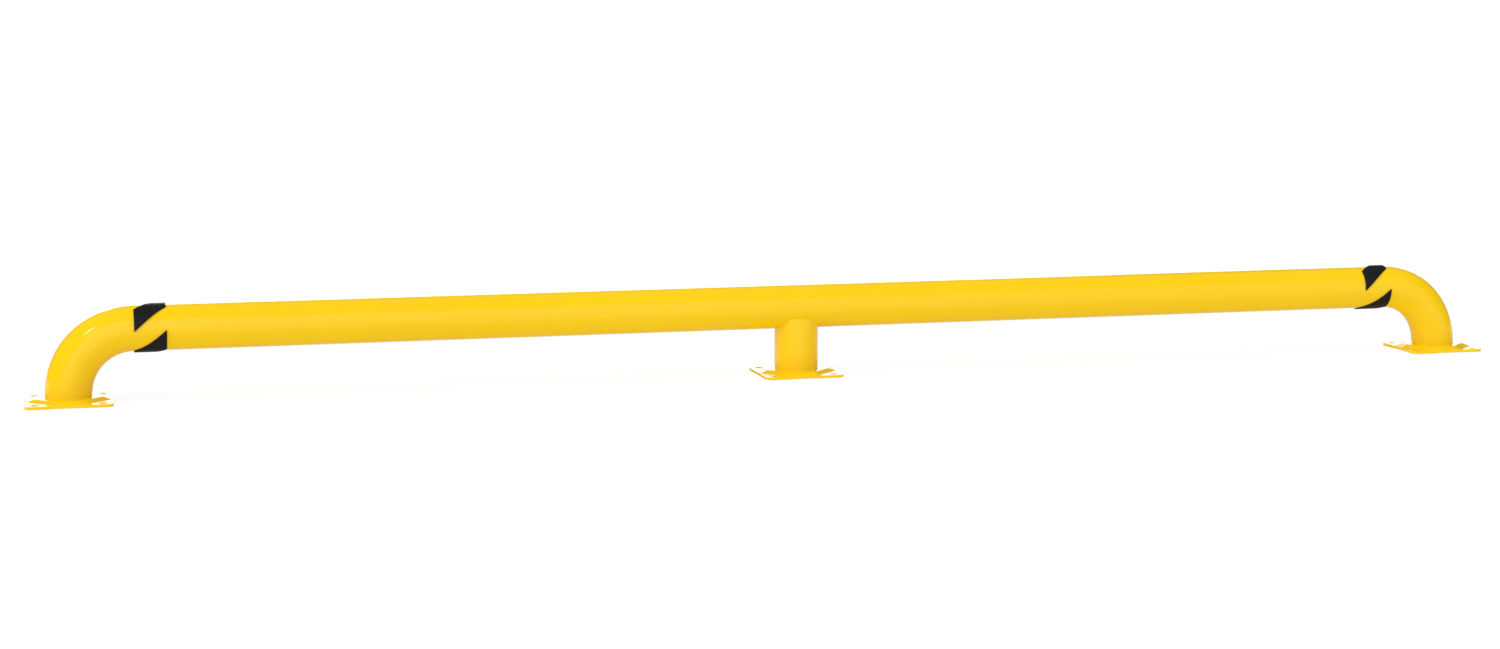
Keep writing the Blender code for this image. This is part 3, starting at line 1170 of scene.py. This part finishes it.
@dataclass(frozen=True)
class PaleFloor:
    """Floor that shows white with a faint shadow, and that the gloss of the coat mirrors in grey.

    Each pair of ends is given in metres along Y, and the pair of glows after it stands at those two ends.
    """

    reach: float = 90.0
    drop: float = 0.0002
    sides: int = 64
    paint: float = 0.9
    glow_share: float = 0.5
    more_for_camera: float = 0.32
    plain_glow: float = 1.03
    front_ends: tuple[float, float] = (-0.19, -0.36)
    front_glow: tuple[float, float] = (0.20, 0.50)
    back_ends: tuple[float, float] = (0.02, 0.16)
    back_glow: tuple[float, float] = (0.0, 0.5)

    def make_material(self) -> bpy.types.Material:
        """Builds the floor's material, part pale paint and part plain glow.

        Returns:
            The material.
        """
        material = bpy.data.materials.new("pale_floor")
        material.use_nodes = True
        sheet = NodeSheet(material.node_tree)
        material.node_tree.nodes.remove(material.node_tree.nodes["Principled BSDF"])
        rays = sheet.add("ShaderNodeLightPath").outputs
        glossy = rays["Is Glossy Ray"]
        ahead = sheet.parts("ShaderNodeTexCoord", "Object")["Y"]
        in_front = sheet.ramp(ahead, self.front_ends, self.front_glow)
        mirrored = sheet.math("ADD", in_front, sheet.ramp(ahead, self.back_ends, self.back_glow))
        glow = sheet.math("MAXIMUM", mirrored, sheet.math("SUBTRACT", self.plain_glow, glossy))
        paint = sheet.call("ShaderNodeBsdfDiffuse", {"Color": (self.paint, self.paint, self.paint, 1.0)})
        light = sheet.call("ShaderNodeEmission", {"Color": (1.0, 1.0, 1.0, 1.0), "Strength": glow})
        seen = sheet.math("MULTIPLY_ADD", rays["Is Camera Ray"], self.more_for_camera, self.glow_share)
        mixed = sheet.call(
            "ShaderNodeMixShader",
            {0: sheet.math("MAXIMUM", seen, glossy), 1: paint.outputs[0], 2: light.outputs[0]},
        )
        sheet.feed(material.node_tree.nodes["Material Output"].inputs["Surface"], mixed.outputs[0])
        return material

    def build(self) -> None:
        """Lays the floor."""
        bm = bmesh.new()
        bmesh.ops.create_circle(bm, cap_ends=True, segments=self.sides, radius=self.reach)
        bmesh.ops.translate(bm, vec=(0.0, 0.0, -self.drop), verts=bm.verts)
        mesh = bpy.data.meshes.new("floor")
        bm.to_mesh(mesh)
        bm.free()
        mesh.materials.append(self.make_material())
        new_object("floor", mesh)


@dataclass(frozen=True)
class Surroundings:
    """White background, even light from all round, and the cards that the gloss mirrors.

    Angles are in degrees. In front they go from -Y towards +X, and behind from +Y towards +X. A card is gone
    at the first angle of a pair and full at the second. Each step of the back card has the elevation where it
    is gone and the angle where its right end is full. Rear depth and height are the Y and Z of the mirrored
    direction. A level has a value for each of the two ends that stand before it.
    """

    even_light: float = 0.86
    front_top: tuple[float, float] = (52.0, 41.0)
    front_left: tuple[float, float] = (-46.0, -33.0)
    front_right: tuple[float, float] = (62.0, 46.0)
    front_level_ends: tuple[float, float] = (-10.0, 35.0)
    front_level: tuple[float, float] = (0.85, 0.42)
    back_left: tuple[float, float] = (-13.0, -8.0)
    back_steps: tuple[tuple[float, float], ...] = ((27.0, 21.0), (14.0, 33.0))
    back_top_fade: float = 6.0
    back_right_fade: float = 5.0
    back_level: float = 2.6
    rear_depth_ends: tuple[float, float] = (-0.2, 0.6)
    rear_depth_level: tuple[float, float] = (0.04, 0.2)
    rear_height_ends: tuple[float, float] = (0.5, 0.77)
    rear_height_level: tuple[float, float] = (0.3, 1.0)

    def mirrored(self, sheet: NodeSheet) -> bpy.types.NodeSocket:
        """Adds the nodes for what the gloss mirrors.

        Args:
            sheet: The world's node sheet.

        Returns:
            The socket of its strength.
        """
        ray = sheet.parts("ShaderNodeTexCoord", "Generated")
        height = ray["Z"]
        in_front = sheet.math("ARCTAN2", ray["X"], sheet.math("MULTIPLY", ray["Y"], -1.0))
        behind = sheet.math("ARCTAN2", ray["X"], ray["Y"])
        card = sheet.math(
            "MULTIPLY", sheet.ramp(height, sines(self.front_top)),
            sheet.ramp(in_front, in_radians(self.front_left)),
        )
        card = sheet.math("MULTIPLY", card, sheet.ramp(in_front, in_radians(self.front_right)))
        steps = []
        for top, side in self.back_steps:
            low = sheet.ramp(height, sines((top, top - self.back_top_fade)))
            end = sheet.ramp(behind, in_radians((side + self.back_right_fade, side)))
            steps.append(sheet.math("MULTIPLY", low, end))
        left_end = sheet.ramp(behind, in_radians(self.back_left))
        back = sheet.math("MULTIPLY", left_end, sheet.math("MAXIMUM", *steps))
        rear = sheet.math(
            "MULTIPLY", sheet.ramp(ray["Y"], self.rear_depth_ends, self.rear_depth_level),
            sheet.ramp(height, self.rear_height_ends, self.rear_height_level),
        )
        card_level = sheet.ramp(in_front, in_radians(self.front_level_ends), self.front_level)
        front_and_rear = sheet.math("MULTIPLY_ADD", card, card_level, rear)
        return sheet.math("MULTIPLY_ADD", back, self.back_level, front_and_rear)

    def build(self) -> None:
        """Sets the world."""
        world = bpy.data.worlds.new("studio")
        bpy.context.scene.world = world
        world.use_nodes = True
        sheet = NodeSheet(world.node_tree)
        rays = sheet.add("ShaderNodeLightPath").outputs
        plain = sheet.math("SUBTRACT", 1.0, rays["Is Glossy Ray"])
        even = sheet.math("MULTIPLY", plain, self.even_light)
        light = sheet.math("MULTIPLY_ADD", self.mirrored(sheet), rays["Is Glossy Ray"], even)
        shown = sheet.math("MAXIMUM", rays["Is Camera Ray"], rays["Is Transmission Ray"])
        background = world.node_tree.nodes["Background"]
        sheet.feed(background.inputs["Color"], (1.0, 1.0, 1.0, 1.0))
        sheet.feed(background.inputs["Strength"], sheet.math("MAXIMUM", light, shown))


@dataclass(frozen=True)
class Lamp:
    """Lamp that hangs round the object and points at its middle, with its place in degrees.

    The azimuth goes from -Y towards +X, and the elevation up from the floor.
    """

    name: str
    azimuth: float
    elevation: float

    def hang(self, light: bpy.types.Light, reach: float) -> bpy.types.Object:
        """Puts the lamp in its place.

        Args:
            light: The lamp's data.
            reach: Distance from the middle in metres.

        Returns:
            The lamp's object.
        """
        lamp = bpy.data.objects.new(light.name, light)
        bpy.context.scene.collection.objects.link(lamp)
        turn, lift = math.radians(self.azimuth), math.radians(self.elevation)
        outward = Vector((math.sin(turn) * math.cos(lift), -math.cos(turn) * math.cos(lift), math.sin(lift)))
        lamp.location = outward * reach
        lamp.rotation_euler = outward.to_track_quat("Z", "Y").to_euler()
        return lamp


@dataclass(frozen=True)
class BroadLight(Lamp):
    """Broad light that the gloss doesn't mirror."""

    energy: float
    spread: float = 60.0
    reach: float = 10.0

    def build(self) -> None:
        """Adds the light to the scene."""
        sun = bpy.data.lights.new(self.name, "SUN")
        sun.energy = self.energy
        sun.angle = math.radians(self.spread)
        self.hang(sun, self.reach).visible_glossy = False


@dataclass(frozen=True)
class SoftBox(Lamp):
    """Small square light whose reflection the bends show."""

    width: float
    radiance: float
    reach: float = 30.0

    def build(self) -> None:
        """Adds the light to the scene."""
        box = bpy.data.lights.new(self.name, "AREA")
        box.shape = "SQUARE"
        box.size = self.width
        box.energy = self.radiance * math.pi * box.size ** 2
        self.hang(box, self.reach)


@dataclass(frozen=True)
class PhotoCamera:
    """Camera at the photograph's viewing angle, with its angles in radians."""

    place: tuple[float, float, float] = (-1.2636, -4.4516, 0.7171)
    pitch: float = 0.1354
    yaw: float = 0.2591
    roll: float = 0.0009
    focal_pixels: float = 2665.0
    photo_width: float = 1500.0
    sensor: float = 36.0
    sight: float = 500.0

    def build(self) -> None:
        """Sets the scene's camera."""
        data = bpy.data.cameras.new("camera")
        data.sensor_width = self.sensor
        data.lens = self.focal_pixels * self.sensor / self.photo_width
        data.clip_end = self.sight
        camera = bpy.data.objects.new("camera", data)
        bpy.context.scene.collection.objects.link(camera)
        camera.location = self.place
        turned = Matrix.Rotation(-self.yaw, 3, "Z")
        tilted = turned @ Matrix.Rotation(math.radians(90.0) - self.pitch, 3, "X")
        camera.rotation_euler = (tilted @ Matrix.Rotation(self.roll, 3, "Z")).to_euler()
        bpy.context.scene.camera = camera


@dataclass(frozen=True)
class Studio:
    """Everything that isn't part of the object."""

    floor: PaleFloor = PaleFloor()
    surroundings: Surroundings = Surroundings()
    lamps: tuple[Lamp, ...] = (
        BroadLight("key", -60.0, 24.0, 0.8),
        BroadLight("top", -20.0, 80.0, 0.42),
        SoftBox("box_left", -58.7, 46.5, 4.2, 8.0),
        SoftBox("box_back", -168.4, 27.0, 2.2, 5.0),
    )
    camera: PhotoCamera = PhotoCamera()

    def build(self) -> None:
        """Builds the floor, the surroundings, the lamps and the camera."""
        for part in (self.floor, self.surroundings, *self.lamps, self.camera):
            part.build()


def main() -> None:
    """Builds and reports the pieces in order, then builds the studio round them."""
    logging.basicConfig(level=logging.INFO, format="%(message)s")
    bpy.context.scene.view_settings.view_transform = "Standard"
    peel = orange_peel_group()
    yellow = YellowCoat().make(peel)
    black = BlackStripFinish().make(peel)
    sizes = GuardSizes.from_frame()
    makers = (
        (GuardTube(sizes), yellow), (CentrePost(sizes), yellow), (BasePlates(sizes), yellow),
        (WeldBeads(sizes), yellow), (StripBands(sizes), black),
    )
    for maker, finish in makers:
        for piece in maker.build(finish):
            LOG.info("%s: %d faces in %s", piece.name, len(piece.data.polygons), finish.name)
    Studio().build()


if __name__ == "__main__":
    main()
